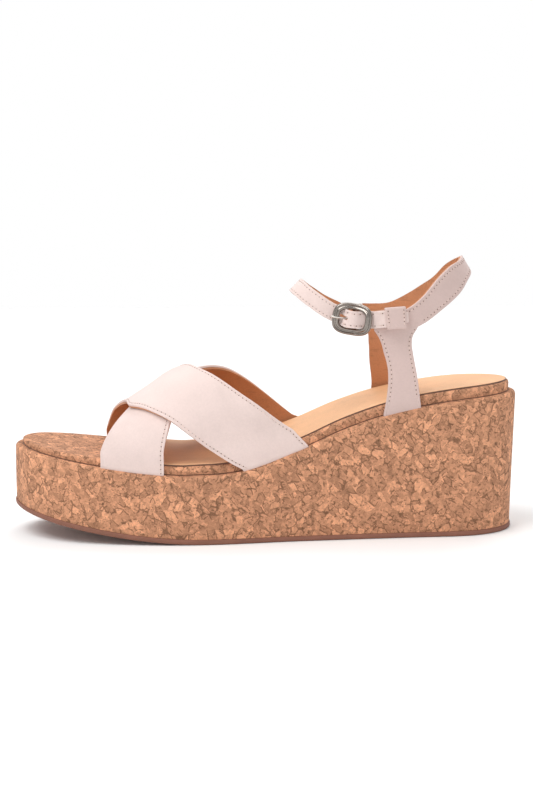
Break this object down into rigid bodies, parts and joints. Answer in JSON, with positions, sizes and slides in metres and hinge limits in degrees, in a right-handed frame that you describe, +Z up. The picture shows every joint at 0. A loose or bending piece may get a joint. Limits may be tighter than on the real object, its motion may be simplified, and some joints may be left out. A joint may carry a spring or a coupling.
{
  "type": "wedge sandal",
  "caption": "Open-toe wedge sandal on a cork-covered platform, with crossed forefoot straps, a heel halter and a buckled ankle strap.",
  "frame": {"origin": "on the floor at the bottom centre of the sandal's box", "axes": "+X runs from the toe to the heel, -Y is the outer side that carries the buckle, +Z is up from the floor"},
  "size_m": [0.2555, 0.0876, 0.1391],
  "materials": {
    "nubuck": "pale pink nubuck, fine matt nap",
    "lining_leather": "tan lining leather, satin",
    "sock_leather": "light tan sock leather, satin",
    "cork": "agglomerated cork sheet, matt, light and dark flakes",
    "outsole_rubber": "brown moulded rubber, matt",
    "core_foam": "cream cellular foam",
    "insole_fibreboard": "brown cellulose board",
    "spring_steel": "bright steel",
    "webbing": "woven cotton reinforcement tape",
    "gunmetal": "polished warm nickel plating"
  },
  "bodies": {
    "sandal": {"outsole": "outsole_rubber", "wedge_core": "core_foam", "wedge_cork_wrap": "cork", "insole_board": "insole_fibreboard", "shank": "spring_steel", "shank_rivet_front": "spring_steel", "shank_rivet_rear": "spring_steel", "heel_nail_1": "spring_steel", "heel_nail_2": "spring_steel", "heel_nail_3": "spring_steel", "footbed_foam": "core_foam", "footbed_cork_wrap": "cork", "sock_lining": "sock_leather", "strap_top_outer": "nubuck", "strap_top_lining": "lining_leather", "strap_under_outer": "nubuck", "strap_under_lining": "lining_leather", "halter_outer": "nubuck", "halter_lining": "lining_leather", "halter_tape": "webbing", "ankle_strap_outer": "nubuck", "ankle_strap_lining": "lining_leather", "ankle_strap_tape": "webbing", "buckle_tab": "nubuck", "strap_keeper": "nubuck"},
    "buckle": {"buckle_frame": "gunmetal"},
    "prong": {"buckle_prong": "gunmetal"}
  },
  "joints": [
    {"name": "buckle_rock", "type": "hinge", "parent": "sandal", "child": "buckle", "pos_m": [0.04138, -0.02588, 0.10914], "axis": [0.1326, -0.0262, 0.9908], "range_deg": [-2.5, 2.5]},
    {"name": "prong_lift", "type": "hinge", "parent": "buckle", "child": "prong", "pos_m": [0.04138, -0.02588, 0.10914], "axis": [0.1326, -0.0262, 0.9908], "range_deg": [0, 7.5]}
  ]
}
